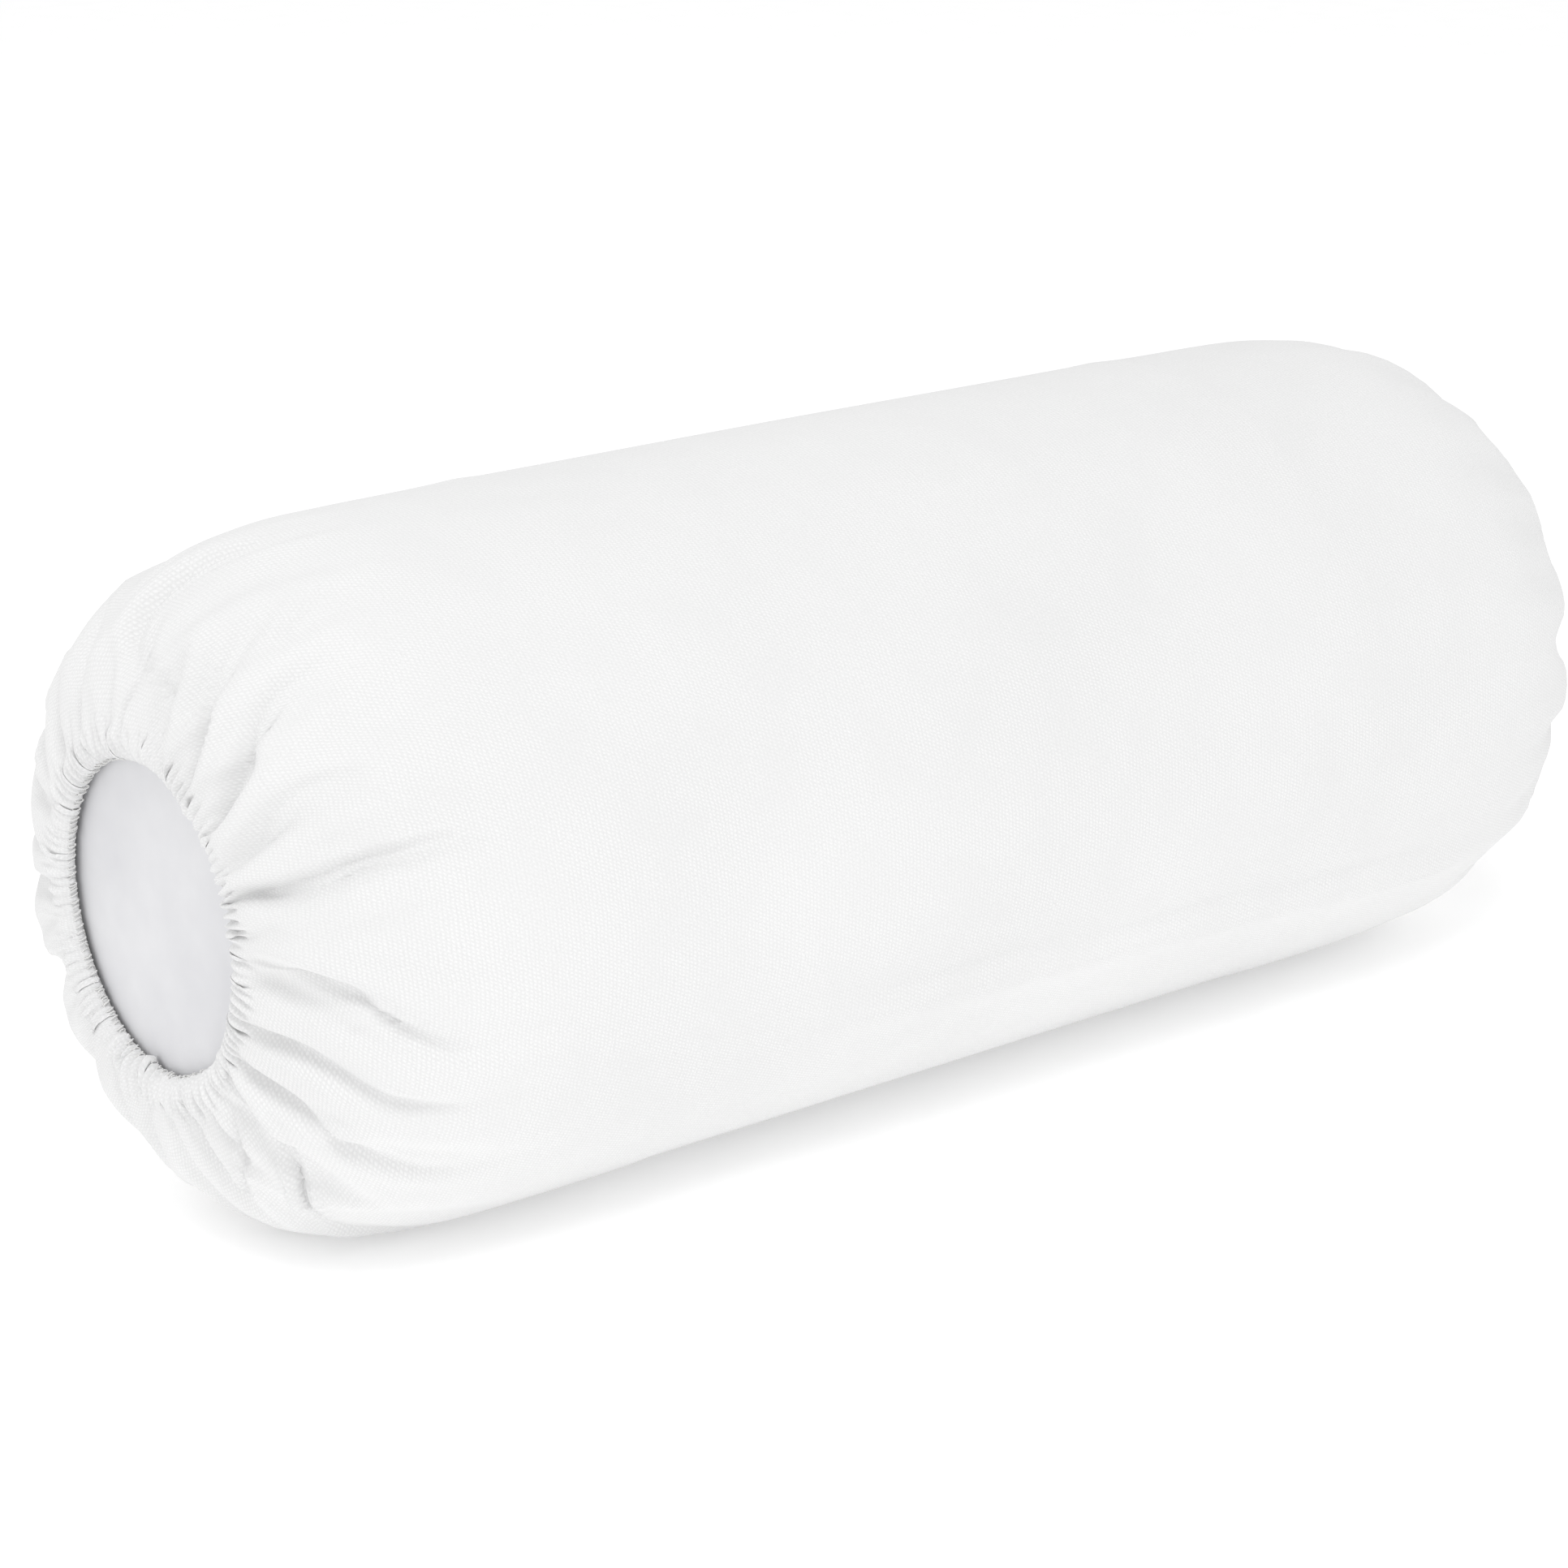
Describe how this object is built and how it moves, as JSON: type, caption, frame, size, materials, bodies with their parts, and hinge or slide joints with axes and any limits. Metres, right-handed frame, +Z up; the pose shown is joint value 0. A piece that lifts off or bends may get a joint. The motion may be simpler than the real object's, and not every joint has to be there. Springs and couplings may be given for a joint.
{
  "type": "bolster pillow",
  "caption": "Round bolster pillow: foam core in a zipped coated-fabric casing, inside a cotton cover gathered by elastic round an open mouth at each end.",
  "frame": {"origin": "middle of the bolster's flat underside", "axes": "+X along the bolster, away from the end that the cover comes off over; +Z up; +Y towards the casing's zip"},
  "size_m": [0.61, 0.2492, 0.2446],
  "materials": {
    "brushed_cotton": "matte",
    "cover_thread": "matte",
    "elastic": "matte",
    "coated_fabric": "satin",
    "casing_thread": "matte",
    "zip_tape": "matte",
    "zip_coil": "satin",
    "zip_metal": "satin",
    "wadding": "matte",
    "foam": "matte"
  },
  "bodies": {
    "bolster": {"casing_barrel": "coated_fabric", "casing_end_near": "coated_fabric", "casing_end_far": "coated_fabric", "casing_end_seam_near": "casing_thread", "casing_end_seam_far": "casing_thread", "zip_tape_upper": "zip_tape", "zip_tape_lower": "zip_tape", "zip_coil_upper": "zip_coil", "zip_coil_lower": "zip_coil", "zip_top_stop": "zip_metal", "zip_bottom_stop": "zip_metal", "fibre_wrap": "wadding", "fibre_pad_near": "wadding", "fibre_pad_far": "wadding", "foam_core": "foam"},
    "cover": {"cover_panel": "brushed_cotton", "cover_hem_overlock_near": "cover_thread", "cover_hem_overlock_far": "cover_thread", "cover_seam_overlock": "cover_thread", "cover_elastic_near": "elastic", "cover_elastic_far": "elastic"},
    "zip_slider": {"zip_slider": "zip_metal"}
  },
  "joints": [
    {"name": "cover_off", "type": "slide", "parent": "bolster", "child": "cover", "axis": [-1, 0, 0], "range_m": [0, 0.65], "deforming": ["cover_panel", "cover_hem_overlock_near", "cover_hem_overlock_far", "cover_elastic_near", "cover_elastic_far"]},
    {"name": "zip_slide", "type": "slide", "parent": "bolster", "child": "zip_slider", "axis": [-1, 0, 0], "range_m": [0, 0.347]}
  ]
}
